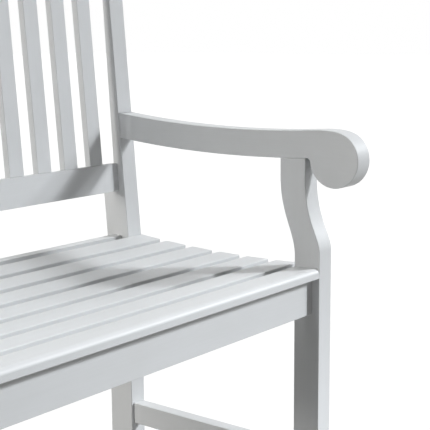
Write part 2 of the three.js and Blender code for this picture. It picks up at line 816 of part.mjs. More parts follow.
const sideCuts = [
  sideTenon(...railTenonSpan, fitGap),
  sideTenon(...stretcherTenonSpan, fitGap),
];
const armLagHole = armLag(lagHole()).applyMatrix4(back.matrix);
const rockerCuts = [legMiddle, postMiddle].flatMap((y) => [
  footTenon(y, fitGap),
  footLag(lagHole(), y),
]);
const rocker = joined(
  sideView(rockerShape(), sideFrameX, legWidth, easedEdge, 6),
  [],
  rockerCuts,
);
const frontLeg = joined(
  sideView(frontLegShape(), sideFrameX, legWidth, easedEdge),
  [footTenon(legMiddle, 0), armTenon(0)],
  [...sideCuts, ...crossJointCuts(frontApron), footLag(lagHole(), legMiddle)],
);
const rearPost = joined(
  sideView(rearPostShape(), sideFrameX, legWidth, easedEdge),
  [footTenon(postMiddle, 0), postTopTenon(sideFrameX, 0).applyMatrix4(back.matrix)],
  [
    ...sideCuts,
    ...crossJointCuts(rearApron),
    ...crossJointCuts(backRail),
    footLag(lagHole(), postMiddle),
    armLagHole,
  ],
);
const arm = joined(
  sideView(armShape(), sideFrameX, legWidth, easedEdge, 20),
  [],
  [postSpace(), armTenon(fitGap), armLagHole],
);
placePair(bench, "rocker", rocker, woodPaint);
placePair(bench, "front_leg", frontLeg, woodPaint);
placePair(bench, "rear_post", rearPost, woodPaint);
placePair(bench, "arm", arm, woodPaint);

export default bench;
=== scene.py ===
"""The looks of a painted rocking bench: a fine mesh for each piece of its CAD model, and a white studio."""

import math
import random

import bpy
from mathutils import Matrix, Vector


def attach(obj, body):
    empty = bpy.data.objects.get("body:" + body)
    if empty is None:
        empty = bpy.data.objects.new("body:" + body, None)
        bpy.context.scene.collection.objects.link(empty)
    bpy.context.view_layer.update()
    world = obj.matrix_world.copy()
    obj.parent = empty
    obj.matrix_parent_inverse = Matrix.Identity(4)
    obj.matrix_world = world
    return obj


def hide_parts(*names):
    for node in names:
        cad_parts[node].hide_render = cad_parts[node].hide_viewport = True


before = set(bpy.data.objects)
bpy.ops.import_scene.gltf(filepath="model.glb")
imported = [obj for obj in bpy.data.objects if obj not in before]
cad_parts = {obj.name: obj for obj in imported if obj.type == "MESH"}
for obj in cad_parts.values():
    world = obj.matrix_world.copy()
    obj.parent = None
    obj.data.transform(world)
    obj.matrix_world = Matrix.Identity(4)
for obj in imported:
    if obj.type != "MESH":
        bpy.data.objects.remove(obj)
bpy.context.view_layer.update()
scene = bpy.context.scene
scene.view_settings.view_transform = "Standard"

# Shapes are drawn in millimetres, and the bench stands in metres
MM = 0.001

# Whole bench: X to the right, Y to the back, Z up from the floor
INNER_WIDTH = 1109
LEG_WIDTH = 34
LEG_DEPTH = 46.1
POST_DEPTH = 51
LEG_SPACING = 399
LEG_TO_ORIGIN = 283.2
SEAT_HEIGHT = 475
LEAN = math.atan(0.0825)
GAP = 0.3

OUTER_WIDTH = INNER_WIDTH + 2 * LEG_WIDTH
SIDE_X = (INNER_WIDTH + LEG_WIDTH) / 2
SIDES = ((1, "right"), (-1, "left"))
FRONT_FACE = -LEG_TO_ORIGIN
POST_FACE = FRONT_FACE + LEG_SPACING
LEG_MIDDLE = FRONT_FACE + LEG_DEPTH / 2
POST_MIDDLE = POST_FACE + POST_DEPTH / 2

# Radii of eased edges, along the boards and round their ends
EASED = 1.2
SLIGHT = 0.8
SLAT_EDGE = 0.6
NOSE_END_EDGE = 0.5
RAIL_END_EDGE = 0.3
SLAT_END_EDGE = 0.2

# Straight steps that make up each curve, and rounds that find where the arm meets the post
ROCKER_STEPS = 60
ROCKER_TOP_STEPS = 40
ROCKER_TIP_STEPS = 10
SCROLL_STEPS = 72
SCROLL_FILLET_STEPS = 8
SHOULDER_STEPS = 10
ARM_STEPS = 40
NECK_STEPS = 28
POST_STEPS = 24
NOSE_STEPS = 12
CREST_STEPS = 8
POST_MEETING_ROUNDS = 8

# Rockers
ROCKER_RADIUS = 1800
ROCKER_MIDDLE = 36
ROCKER_TIP = 22
ROCKER_HALF = 350

# Swan's neck of the front legs, heights above the seat
NECK_SHIFT = 27.6
NECK_TOP = 134.2
NECK_FRONT = (19.7, 44.7, 66.2)
NECK_REAR = (8.9, 49.2, 71.6)

# Arms
ARM_DEPTH = 42.6
ARM_TOP_LOW = 202.2
ARM_LOW_AT = 164.6
ARM_RADIUS = 2192
SCROLL_RADIUS = 42.5
SCROLL_REACH = 23.2
SCROLL_SINK = 38.5
SCROLL_TURN = 0.3
SCROLL_FILLET = 6.3
SHOULDER_AT = 13.4

# Seat
SLAT_COUNT = 6
SLAT_WIDTH = 43.4
SLAT_THICKNESS = 16.1
SLAT_SETBACK = 1.8
SLAT_ROUND = 1.4
NOSE_ROUND = 8.5
FRONT_SLAT_WIDTH = 46.1
FRONT_SLAT_SET = 0.4
DISH_DEPTH = 10.3
DISH_LOW_AT = 174.5

# Rails under the seat
APRON_DROP = 78.1
APRON_THICKNESS = 19.7
FRONT_APRON_SET = 13.4
REAR_APRON_SET = 16.1
REAR_APRON_RISE = 0.9
SIDE_RAIL_THICKNESS = 23.3
BEARER_THICKNESS = 27
BEARER_DEPTH = 40
STRETCHER_TOP = 168
STRETCHER_HEIGHT = 37.6
STRETCHER_THICKNESS = 23.3

# Back
BACK_SLAT_COUNT = 18
BACK_SLAT_WIDTH = 29.5
BACK_SLAT_THICKNESS = 12.5
BACK_END_GAP = 34.9
BACK_SLAT_SET = 13.4
BACK_RAIL_LOW = 81.4
BACK_RAIL_HEIGHT = 48.8
BACK_RAIL_THICKNESS = 14.3
BACK_RAIL_SET = 13
CREST_LOW = 540
CREST_HEIGHT = 56
CREST_DEPTH = 38
CREST_AHEAD = 4.5
CREST_ROUND = 10

# Rear posts, deep up to a step behind the back rail and a slender blade above it
STEP_LOW = 77
STEP_HIGH = 134.2
STEP_EASE = 23.3
BLADE_LOW = 21.5
BLADE_TOP = 13.6

# Sunk holes
HOLE_FLARE = 0.7
BOLT_SINK = 5
BOLT_HOLE_RADIUS = 8.4
BOLT_HEAD_ROOM = 4
LAG_SINK = 5
LAG_HOLE_RADIUS = 10
LAG_HEAD_ROOM = 6
NUT_HOLE_RADIUS = 5.3

# Bolts with a hexagon socket; DOME gives the head's radii and depths from its top down
BACK_BOLT_RISE = 17
DOME = [(0, 0), (5.2, 0), (6.9, 0.35), (7.7, 1), (8, 1.9), (8, 3.2), (7.7, 3.5)]
BOLT_RADIUS = 3
BOLT_TIP_RADIUS = 2.2
BOLT_TIP_LENGTH = 1
BOLT_LENGTH = 62
SOCKET_RADIUS = 2.9
SOCKET_DEPTH = 2.2

# Barrel nuts, with a passage for the bolt and a slot in one end
NUT_FROM_END = 20
NUT_LENGTH = 11.5
NUT_RADIUS = 5
NUT_CHAMFER = 0.4
NUT_PASSAGE_RADIUS = 3.3
NUT_SLOT_WIDTH = 1.2
NUT_SLOT_DEPTH = 1.2
NUT_SLOT_EDGE = 0.01

# Lag bolts with a hexagon head and a pointed shank
LAG_HEAD_RADIUS = 7.5
LAG_HEAD_HEIGHT = 5.3
LAG_CORNER_RADIUS = 7.6
LAG_CORNER_DEPTH = 0.9
LAG_FACE_RADIUS = 6.3
LAG_RADIUS = 4
LAG_POINT_START = 57
LAG_LENGTH = 64

# Degrees from which a fastener's edge stays sharp
BOLT_CREASE = 32
LAG_CREASE = 28

# Edges of hexagons, and how far the tools that cut holes and slots reach past the solid
HEXAGON_EDGE = 0.05
OVERRUN = 2
SLOT_OVERRUN = 3
NUT_OVERRUN = 9
RING_RADIUS = 20
RING_ABOVE = 5
RING_BELOW = 8
RING_LID = 1

# Points closer together than this count as one
SAME_POINT = 0.02

# Limit to how far an inset moves a sharp corner
LEAST_INSET_SHARE = 0.35

# Local axes (u, v, w) of a piece's outline and of its thickness, in the bench's frame
SIDE = Matrix(((0, 0, 1, 0), (1, 0, 0, 0), (0, 1, 0, 0), (0, 0, 0, 1)))
LENGTHWISE = Matrix(((1, 0, 0, 0), (0, 0, -1, 0), (0, 1, 0, 0), (0, 0, 0, 1)))
BACK = Matrix.Translation((0, POST_FACE, SEAT_HEIGHT)) @ Matrix.Rotation(-LEAN, 4, "X")


# Outlines


def arc(u, v, radius, start, end, steps):
    angles = [start + (end - start) * i / steps for i in range(steps + 1)]
    return [(u + radius * math.cos(a), v + radius * math.sin(a)) for a in angles]


def curve(points, steps):
    """A Bezier curve of two, three or four points."""
    result = []
    for i in range(steps + 1):
        t = i / steps
        level = [Vector(p) for p in points]
        while len(level) > 1:
            level = [a.lerp(b, t) for a, b in zip(level, level[1:])]
        result.append(tuple(level[0]))
    return result


def rounded(corners, radii, steps=4):
    """A polygon with round corners; the radii go round with the corners."""
    result = []
    count = len(corners)
    for i, (corner, radius) in enumerate(zip(corners, radii)):
        here = Vector(corner)
        before = (Vector(corners[i - 1]) - here).normalized()
        after = (Vector(corners[(i + 1) % count]) - here).normalized()
        half = before.angle(after) / 2
        if radius <= 0:
            result.append(tuple(here))
            continue
        reach = radius / math.tan(half)
        start, end = here + before * reach, here + after * reach
        centre = here + (before + after).normalized() * radius / math.sin(half)
        first = start - centre
        turn = first.angle_signed(end - centre)
        for k in range(steps + 1):
            angle = -turn * k / steps
            c, s = math.cos(angle), math.sin(angle)
            result.append((centre.x + c * first.x - s * first.y, centre.y + s * first.x + c * first.y))
    return result


def box_outline(u0, u1, v0, v1, radius):
    return rounded([(u0, v0), (u1, v0), (u1, v1), (u0, v1)], [radius] * 4)


def cleaned(outline):
    """Drops points that repeat, and makes the outline run anticlockwise."""
    points = []
    for point in outline:
        if not points or (Vector(point) - Vector(points[-1])).length > SAME_POINT:
            points.append(point)
    if (Vector(points[0]) - Vector(points[-1])).length <= SAME_POINT:
        points.pop()
    area = sum(a[0] * b[1] - b[0] * a[1] for a, b in zip(points, points[1:] + points[:1]))
    return points if area > 0 else points[::-1]


def inset(points, distance):
    """An anticlockwise outline moved inwards."""
    count = len(points)
    result = []
    for i, point in enumerate(points):
        here = Vector(point)
        before = (here - Vector(points[i - 1])).normalized()
        after = (Vector(points[(i + 1) % count]) - here).normalized()
        normals = [Vector((-d.y, d.x)) for d in (before, after)]
        middle = (normals[0] + normals[1]).normalized()
        share = max(LEAST_INSET_SHARE, middle.dot(normals[0]))
        result.append(tuple(here + middle * distance / share))
    return result


# Meshes


def new_mesh(name, points, faces, place):
    mesh = bpy.data.meshes.new(name)
    mesh.from_pydata([place @ Vector(p) * MM for p in points], [], faces)
    mesh.validate()
    return mesh


def prism_mesh(name, outline, low, high, rim, place, steps=3):
    """An outline in u and v, as thick as low to high along w, with round edges of radius rim."""
    points = cleaned(outline)
    count = len(points)
    angles = [math.pi / 2 * k / steps for k in range(steps + 1)]
    rings = [(rim * (1 - math.sin(a)), low + rim * (1 - math.cos(a))) for a in angles]
    rings += [(d, low + high - w) for d, w in reversed(rings)]
    corners = [(*p, w) for d, w in rings for p in inset(points, d)]
    faces = [list(range(count))[::-1]]
    for ring in range(len(rings) - 1):
        base = ring * count
        for i in range(count):
            j = (i + 1) % count
            faces.append([base + i, base + j, base + count + j, base + count + i])
    faces.append(list(range(len(corners) - count, len(corners))))
    return new_mesh(name, corners, faces, place)


def turned_mesh(name, profile, place, sides=40):
    """Pairs of radius and place along w, turned round w from one end on the axis to the other."""
    corners = []
    rows = []
    for radius, along in profile:
        if radius == 0:
            rows.append([len(corners)])
            corners.append((0, 0, along))
            continue
        rows.append(list(range(len(corners), len(corners) + sides)))
        for i in range(sides):
            angle = 2 * math.pi * i / sides
            corners.append((radius * math.cos(angle), radius * math.sin(angle), along))
    faces = []
    for near, far in zip(rows, rows[1:]):
        for i in range(sides):
            j = (i + 1) % sides
            quad = [near[i % len(near)], near[j % len(near)], far[j % len(far)], far[i % len(far)]]
            faces.append(list(dict.fromkeys(quad)))
    return new_mesh(name, corners, faces, place)


def cut(mesh, cutters):
    """Takes the cutters' meshes out of a mesh."""
    holder = bpy.data.objects.new("holder", mesh)
    scene.collection.objects.link(holder)
    tools = []
    for cutter in cutters:
        tool = bpy.data.objects.new("tool", cutter)
        scene.collection.objects.link(tool)
        tools.append(tool)
        modifier = holder.modifiers.new("cut", "BOOLEAN")
        modifier.operation = "DIFFERENCE"
        modifier.solver = "EXACT"
        modifier.object = tool
    bpy.context.view_layer.update()
    view = holder.evaluated_get(bpy.context.evaluated_depsgraph_get())
    result = bpy.data.meshes.new_from_object(view)
    for item in [holder, *tools]:
        bpy.data.objects.remove(item)
    return result


# Materials


# How far the paint's colour and roughness stray from their middle values
PAINT_DARK_SHARES = (0.968, 0.968, 0.960)
PAINT_LIGHT_SHARE = 1.02
PAINT_SMOOTHER = 0.06
PAINT_DULLER = 0.08


def node(tree, kind, inputs=None, **values):
    made = tree.nodes.new(kind)
    for key, value in values.items():
        setattr(made, key, value)
    for key, value in (inputs or {}).items():
        if isinstance(value, bpy.types.NodeSocket):
            tree.links.new(value, made.inputs[key])
        else:
            made.inputs[key].default_value = value
    return made


def new_material(name):
    material = bpy.data.materials.new(name)
    material.use_nodes = True
    return material, material.node_tree, material.node_tree.nodes["Principled BSDF"]


def maths(tree, operation, first, second, third=0):
    return node(tree, "ShaderNodeMath", {0: first, 1: second, 2: third}, operation=operation).outputs[0]


def weighted_sum(tree, *parts):
    """Adds up values, each given with its weight."""
    value, weight = parts[0]
    total = maths(tree, "MULTIPLY", value, weight)
    for value, weight in parts[1:]:
        total = maths(tree, "MULTIPLY_ADD", value, weight, total)
    return total


def two_tone(tree, value, dark, light):
    """A colour ramp between two ends, each given as its position and its colour."""
    ramp = node(tree, "ShaderNodeValToRGB", {"Fac": value})
    for element, (position, colour) in zip(ramp.color_ramp.elements, (dark, light)):
        element.position = position
        element.color = (*colour, 1)
    return ramp.outputs["Color"]


def grain_noise(tree, place, across, stretch, detail, rough=0.5):
    """Noise drawn out along the grain: across is its frequency in 1/m, stretch how much longer it is."""
    scaled = node(
        tree,
        "ShaderNodeMapping",
        {"Vector": place, "Scale": (across / stretch, across, across)},
    )
    noise = node(
        tree,
        "ShaderNodeTexNoise",
        {"Vector": scaled.outputs["Vector"], "Scale": 1, "Detail": detail, "Roughness": rough},
    )
    return noise.outputs["Fac"]


def paint(name, colour, roughness):
    """Satin paint brushed over sanded boards; the grain attribute gives the board's own axes."""
    material, tree, shader = new_material(name)
    place = node(tree, "ShaderNodeAttribute", attribute_name="grain").outputs["Vector"]
    fibre = grain_noise(tree, place, across=420, stretch=34, detail=4, rough=0.6)
    strokes = grain_noise(tree, place, across=1500, stretch=60, detail=2)
    figure = grain_noise(tree, place, across=70, stretch=9, detail=3)
    coat = grain_noise(tree, place, across=16, stretch=1.6, detail=3)
    peel = grain_noise(tree, place, across=900, stretch=1, detail=2)

    tone = weighted_sum(tree, (figure, 0.2), (fibre, 0.35), (coat, 0.45))
    darker = [c * share for c, share in zip(colour, PAINT_DARK_SHARES)]
    lighter = [c * PAINT_LIGHT_SHARE for c in colour]
    tree.links.new(two_tone(tree, tone, (0.3, darker), (0.7, lighter)), shader.inputs["Base Color"])

    uneven = weighted_sum(tree, (coat, 0.6), (strokes, 0.4))
    smooth, dull = roughness - PAINT_SMOOTHER, roughness + PAINT_DULLER
    rough = node(
        tree,
        "ShaderNodeMapRange",
        {"Value": uneven, "From Min": 0.3, "From Max": 0.7, "To Min": smooth, "To Max": dull},
    )
    tree.links.new(rough.outputs["Result"], shader.inputs["Roughness"])

    relief = weighted_sum(tree, (strokes, 0.3), (fibre, 0.55), (figure, 0.5), (peel, 0.12))
    bump = node(tree, "ShaderNodeBump", {"Strength": 0.35, "Distance": 0.0005, "Height": relief})
    tree.links.new(bump.outputs["Normal"], shader.inputs["Normal"])
    shader.inputs["Specular IOR Level"].default_value = 0.45
    return material


def zinc():
    """Zinc plating with fine dark and pale spots and an uneven gloss."""
    material, tree, shader = new_material("zinc")
    shader.inputs["Metallic"].default_value = 1
    place = node(tree, "ShaderNodeTexCoord").outputs["Object"]
    spots = node(tree, "ShaderNodeTexNoise", {"Vector": place, "Scale": 700, "Detail": 4}).outputs["Fac"]
    flow = node(tree, "ShaderNodeTexNoise", {"Vector": place, "Scale": 160, "Detail": 2}).outputs["Fac"]
    colour = two_tone(tree, spots, (0.35, (0.40, 0.41, 0.43)), (0.68, (0.66, 0.67, 0.68)))
    tree.links.new(colour, shader.inputs["Base Color"])
    rough = node(tree, "ShaderNodeMapRange", {"Value": flow, "To Min": 0.24, "To Max": 0.5})
    tree.links.new(rough.outputs["Result"], shader.inputs["Roughness"])
    bump = node(tree, "ShaderNodeBump", {"Strength": 0.2, "Distance": 0.0001, "Height": spots})
    tree.links.new(bump.outputs["Normal"], shader.inputs["Normal"])
    return material


FINISH = {
    "frame_paint": paint("frame_paint", (0.800, 0.808, 0.816), 0.44),
    "seat_paint": paint("seat_paint", (0.812, 0.820, 0.828), 0.46),
    "zinc_steel": zinc(),
}


# Pieces


# For each local axis that the grain can run along, the order that puts it first
GRAIN_FIRST = {"u": (0, 1, 2), "v": (1, 0, 2), "w": (2, 0, 1)}

# Metres within which each board's grain starts at a place of its own
GRAIN_SPREAD = 9
shuffle = random.Random(7)


def add_piece(node_name, mesh, slot, place=None, along="u", sharp=None):
    """Shows a mesh in the CAD node's stead, with the grain along one of its local axes."""
    if place is not None:
        offset = Vector([shuffle.uniform(0, GRAIN_SPREAD) for _ in range(3)])
        back = place.inverted()
        grain = mesh.attributes.new("grain", "FLOAT_VECTOR", "POINT")
        for vertex, value in zip(mesh.vertices, grain.data):
            local = back @ (vertex.co / MM) * MM
            value.vector = Vector([local[i] for i in GRAIN_FIRST[along]]) + offset
    mesh.materials.clear()
    mesh.materials.append(FINISH[slot])
    for polygon in mesh.polygons:
        polygon.use_smooth = True
        polygon.material_index = 0
    if sharp:
        mesh.set_sharp_from_angle(angle=math.radians(sharp))
    piece = bpy.data.objects.new(f"{node_name}_look", mesh)
    scene.collection.objects.link(piece)
    if not sharp:
        weighted = piece.modifiers.new("even", "WEIGHTED_NORMAL")
        # The largest face at each corner sets its normal, so flat faces stay flat
        weighted.weight = 100
        weighted.keep_sharp = True
    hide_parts(node_name)
    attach(piece, "root")


def add_board(node_name, outline, low, high, rim, place, along, slot="frame_paint", cutters=()):
    mesh = prism_mesh(node_name, outline, low, high, rim, place)
    if cutters:
        mesh = cut(mesh, cutters)
    add_piece(node_name, mesh, slot, place, along)


def sunk_hole(place, radius, depth):
    """A round hole with a slightly flared mouth, from the place's origin down along its w axis."""
    mouth = radius + HOLE_FLARE + OVERRUN
    profile = [(0, -OVERRUN), (mouth, -OVERRUN), (radius, HOLE_FLARE), (radius, depth), (0, depth)]
    return turned_mesh("hole", profile, place)


# Side frames


def rocker_shape():
    centreline = ROCKER_RADIUS - ROCKER_TIP / 2
    tip_angle = math.asin((ROCKER_HALF - ROCKER_TIP / 2) / centreline)
    down = -math.pi / 2
    tip_y = centreline * math.sin(tip_angle)
    tip_z = ROCKER_RADIUS - centreline * math.cos(tip_angle)
    points = arc(0, ROCKER_RADIUS, ROCKER_RADIUS, down - tip_angle, down + tip_angle, ROCKER_STEPS)
    points += arc(tip_y, tip_z, ROCKER_TIP / 2, tip_angle + down, tip_angle - down, ROCKER_TIP_STEPS)
    end = rocker_top_end()[0]
    top = [end * (1 - 2 * i / ROCKER_TOP_STEPS) for i in range(1, ROCKER_TOP_STEPS)]
    points += [(y, rocker_top_at(y)) for y in top]
    turn = -down - tip_angle
    points += arc(-tip_y, tip_z, ROCKER_TIP / 2, turn, turn + math.pi, ROCKER_TIP_STEPS)
    return points


def rocker_top_end():
    inner = ROCKER_RADIUS - ROCKER_TIP
    tip_angle = math.asin((ROCKER_HALF - ROCKER_TIP / 2) / (ROCKER_RADIUS - ROCKER_TIP / 2))
    return inner * math.sin(tip_angle), ROCKER_RADIUS - inner * math.cos(tip_angle)


def rocker_top_at(y):
    end_y, end_z = rocker_top_end()
    rise = end_z - ROCKER_MIDDLE
    radius = (end_y**2 + rise**2) / (2 * rise)
    return ROCKER_MIDDLE + radius - math.sqrt(radius**2 - y**2)


def rocker_underside_at(y):
    return ROCKER_RADIUS - math.sqrt(ROCKER_RADIUS**2 - y**2)


ARM_CENTRE = (FRONT_FACE + ARM_LOW_AT, SEAT_HEIGHT + ARM_TOP_LOW + ARM_RADIUS)
ARM_UNDER_RADIUS = ARM_RADIUS + ARM_DEPTH


def on_arm(y, radius):
    return ARM_CENTRE[1] - math.sqrt(radius**2 - (y - ARM_CENTRE[0]) ** 2)


def arm_sweep(radius, start, end):
    """Part of an edge of the arm, between two places along Y."""
    angles = [math.asin((y - ARM_CENTRE[0]) / radius) - math.pi / 2 for y in (start, end)]
    return arc(*ARM_CENTRE, radius, *angles, ARM_STEPS)


def arm_shape():
    scroll = (FRONT_FACE - SCROLL_REACH, SEAT_HEIGHT + ARM_TOP_LOW - SCROLL_SINK)
    corner_y = scroll[0] + SCROLL_RADIUS
    fillet_y = corner_y + SCROLL_FILLET
    fillet_angle = math.asin(SCROLL_FILLET / SCROLL_RADIUS)
    turn_angle = math.pi / 2 + SCROLL_TURN - 2 * math.pi
    round_scroll = arc(*scroll, SCROLL_RADIUS, -fillet_angle, turn_angle, SCROLL_STEPS)
    shoulder = (FRONT_FACE + SHOULDER_AT, on_arm(FRONT_FACE + SHOULDER_AT, ARM_RADIUS))
    turn = round_scroll[-1]
    rise = (ARM_CENTRE[0] - shoulder[0]) / (ARM_CENTRE[1] - shoulder[1])
    fall = math.tan(SCROLL_TURN)
    handle_y = (turn[1] - shoulder[1] - fall * turn[0] - rise * shoulder[0]) / (-rise - fall)
    handle = (handle_y, shoulder[1] + rise * (shoulder[0] - handle_y))
    top_end, under_end = back_meets(ARM_RADIUS), back_meets(ARM_UNDER_RADIUS)
    underside = [(y, on_arm(y, ARM_UNDER_RADIUS)) for y in (fillet_y, corner_y)]
    points = curve([*underside, round_scroll[0]], SCROLL_FILLET_STEPS)
    points += round_scroll
    points += curve([turn, handle, shoulder], SHOULDER_STEPS)
    points += arm_sweep(ARM_RADIUS, shoulder[0], top_end)
    points += arm_sweep(ARM_UNDER_RADIUS, under_end, fillet_y)
    return points


def back_meets(radius):
    """Where an edge of the arm meets the leaning face of the post."""
    y = POST_FACE
    for _ in range(POST_MEETING_ROUNDS):
        y = POST_FACE - GAP / math.cos(LEAN) + (on_arm(y, radius) - SEAT_HEIGHT) * math.tan(LEAN)
    return y


def neck_handles(face, heights):
    """The neck's curve above one face of the straight leg, as its ends and handles from the bottom up."""
    start, low, high = [SEAT_HEIGHT + height for height in heights]
    shifted = face + NECK_SHIFT
    return [(face, start), (face, low), (shifted, high), (shifted, SEAT_HEIGHT + NECK_TOP)]


def front_leg_shape():
    rear = FRONT_FACE + LEG_DEPTH
    points = [(y, rocker_top_at(y) + GAP) for y in (FRONT_FACE, rear)]
    points += curve(neck_handles(rear, NECK_REAR), NECK_STEPS)
    head = (rear + NECK_SHIFT, FRONT_FACE + NECK_SHIFT)
    points += [(y, on_arm(y, ARM_UNDER_RADIUS) - GAP) for y in head]
    points += curve(neck_handles(FRONT_FACE, NECK_FRONT)[::-1], NECK_STEPS)
    return points


def back_point(depth, height):
    point = BACK @ Vector((0, depth, height))
    return point.y, point.z


def blade_depth_at(height):
    return BLADE_LOW - (BLADE_LOW - BLADE_TOP) * (height - STEP_HIGH) / (CREST_LOW - STEP_HIGH)


def rear_post_shape():
    rear = POST_FACE + POST_DEPTH
    top = CREST_LOW - GAP
    eased = STEP_HIGH - STEP_EASE
    points = [(y, rocker_top_at(y) + GAP) for y in (POST_FACE, rear)]
    points.append((rear, SEAT_HEIGHT - POST_DEPTH * math.tan(LEAN / 2)))
    step = [
        back_point(POST_DEPTH, STEP_LOW),
        back_point(POST_DEPTH, STEP_LOW + STEP_EASE),
        back_point(blade_depth_at(eased), eased),
        back_point(BLADE_LOW, STEP_HIGH),
    ]
    points += curve(step, POST_STEPS)
    points += [back_point(blade_depth_at(top), top), back_point(0, top), (POST_FACE, SEAT_HEIGHT)]
    return points


def lag_places(side):
    """Mouths of the lag bolts' holes, with w pointing in: front foot, rear foot and arm."""
    x = side * SIDE_X
    feet = [Matrix.Translation((x, y, rocker_underside_at(y))) for y in (LEG_MIDDLE, POST_MIDDLE)]
    arm_end = POST_FACE + ARM_TOP_LOW * math.tan(LEAN)
    arm_height = on_arm(arm_end, ARM_UNDER_RADIUS) + ARM_DEPTH / 2 - SEAT_HEIGHT
    turn = Matrix.Rotation(math.pi / 2, 4, "X")
    arm = BACK @ Matrix.Translation((x, blade_depth_at(arm_height), arm_height)) @ turn
    return [*feet, arm]


UNDER_SEAT = SEAT_HEIGHT - DISH_DEPTH - SLAT_THICKNESS
APRON_LOW = SEAT_HEIGHT - APRON_DROP
APRON_BOLT_Z = (APRON_LOW + UNDER_SEAT) / 2
FRONT_APRON_Y = FRONT_FACE + FRONT_APRON_SET
REAR_APRON_Y = POST_FACE + REAR_APRON_SET
FRONT_BOLT_Y = FRONT_APRON_Y + APRON_THICKNESS / 2
REAR_BOLT_Y = REAR_APRON_Y + APRON_THICKNESS / 2
BACK_BOLT = (BACK_RAIL_SET + BACK_RAIL_THICKNESS / 2, BACK_RAIL_LOW + BACK_BOLT_RISE)

# Depth and height of each rail's bolts, the frame in which those are measured and the rail's thickness
BOLT_SPOTS = {
    "front_apron": (FRONT_BOLT_Y, APRON_BOLT_Z, Matrix.Identity(4), APRON_THICKNESS),
    "rear_apron": (REAR_BOLT_Y, APRON_BOLT_Z, Matrix.Identity(4), APRON_THICKNESS),
    "back_lower_rail": (*BACK_BOLT, BACK, BACK_RAIL_THICKNESS),
}


def bolt_place(rail, side):
    """On the outer face of a side frame, with w pointing inwards."""
    depth, height, matrix, _ = BOLT_SPOTS[rail]
    turn = Matrix.Rotation(-side * math.pi / 2, 4, "Y")
    return matrix @ Matrix.Translation((side * OUTER_WIDTH / 2, depth, height)) @ turn


def bolt_hole(rail, side):
    return sunk_hole(bolt_place(rail, side), BOLT_HOLE_RADIUS, BOLT_SINK + BOLT_HEAD_ROOM)


def lag_hole(place):
    return sunk_hole(place, LAG_HOLE_RADIUS, LAG_SINK + LAG_HEAD_ROOM)


def add_side_frames():
    for side, hand in SIDES:
        low, high = side * SIDE_X - LEG_WIDTH / 2, side * SIDE_X + LEG_WIDTH / 2
        front_foot, rear_foot, arm_lag = lag_places(side)
        foot_holes = [lag_hole(front_foot), lag_hole(rear_foot)]
        leg_holes = [bolt_hole("front_apron", side)]
        post_holes = [bolt_hole("rear_apron", side), bolt_hole("back_lower_rail", side), lag_hole(arm_lag)]
        add_board(f"rocker_{hand}", rocker_shape(), low, high, EASED, SIDE, "u", cutters=foot_holes)
        add_board(f"front_leg_{hand}", front_leg_shape(), low, high, EASED, SIDE, "v", cutters=leg_holes)
        add_board(f"rear_post_{hand}", rear_post_shape(), low, high, EASED, SIDE, "v", cutters=post_holes)
        add_board(f"arm_{hand}", arm_shape(), low, high, EASED, SIDE, "u")
        add_side_rails(side, hand)


# Seat


SLATS_REAR = LEG_SPACING - SLAT_SETBACK
SLAT_PITCH = (SLATS_REAR - FRONT_SLAT_SET - FRONT_SLAT_WIDTH) / SLAT_COUNT
DISH_RADIUS = ((SLATS_REAR - DISH_LOW_AT) ** 2 + DISH_DEPTH**2) / (2 * DISH_DEPTH)


def dish_top_at(distance):
    sag = DISH_RADIUS - math.sqrt(DISH_RADIUS**2 - (distance - DISH_LOW_AT) ** 2)
    return SEAT_HEIGHT - DISH_DEPTH + sag


def slat_spans():
    """Names and places of the slats behind the front leg's face, from front to back."""
    spans = [("seat_front_slat", FRONT_SLAT_SET, FRONT_SLAT_SET + FRONT_SLAT_WIDTH)]
    for i in reversed(range(SLAT_COUNT)):
        rear = SLATS_REAR - i * SLAT_PITCH
        spans.append((f"seat_slat_{i + 1}", rear - SLAT_WIDTH, rear))
    return spans


def under_slats():
    """The line under the slats, from front to back, as Y and Z."""
    edges = [edge for _, *span in slat_spans() for edge in span]
    return [(FRONT_FACE + edge, dish_top_at(edge) - SLAT_THICKNESS - GAP) for edge in edges]


def under_slats_at(y):
    line = under_slats()
    if y >= line[-1][0]:
        return line[-1][1]
    for a, b in zip(line, line[1:]):
        if a[0] <= y <= b[0]:
            return a[1] + (b[1] - a[1]) * (y - a[0]) / (b[0] - a[0])
    return line[0][1]


def carrier_shape(front, rear, low):
    between = [point for point in under_slats() if front < point[0] < rear]
    points = [(front, low), (rear, low), (rear, under_slats_at(rear))]
    return points + between[::-1] + [(front, under_slats_at(front))]


def nose_outline(width):
    """The front slat's section, with its upper front edge rounded over."""
    corners = [(0, -SLAT_THICKNESS), (width, -SLAT_THICKNESS), (width, 0), (0, 0)]
    return rounded(corners, [SLIGHT, SLAT_ROUND, SLAT_ROUND, NOSE_ROUND], NOSE_STEPS)


def add_seat():
    for name, front, rear in slat_spans():
        rise = dish_top_at(rear) - dish_top_at(front)
        width = math.hypot(rise, rear - front)
        tilt = Matrix.Translation((0, FRONT_FACE + front, dish_top_at(front)))
        place = tilt @ Matrix.Rotation(math.atan2(rise, rear - front), 4, "X") @ SIDE
        if name == "seat_front_slat":
            half = INNER_WIDTH / 2 - GAP
            add_board(name, nose_outline(width), -half, half, NOSE_END_EDGE, place, "w", "seat_paint")
        else:
            outline = box_outline(0, width, -SLAT_THICKNESS, 0, SLAT_ROUND)
            half = OUTER_WIDTH / 2
            add_board(name, outline, -half, half, SLAT_ROUND, place, "w", "seat_paint")
    front, rear = FRONT_APRON_Y + APRON_THICKNESS + GAP, REAR_APRON_Y - GAP
    half = BEARER_THICKNESS / 2
    shape = carrier_shape(front, rear, UNDER_SEAT - BEARER_DEPTH)
    add_board("seat_centre_bearer", shape, -half, half, SLIGHT, SIDE, "u")


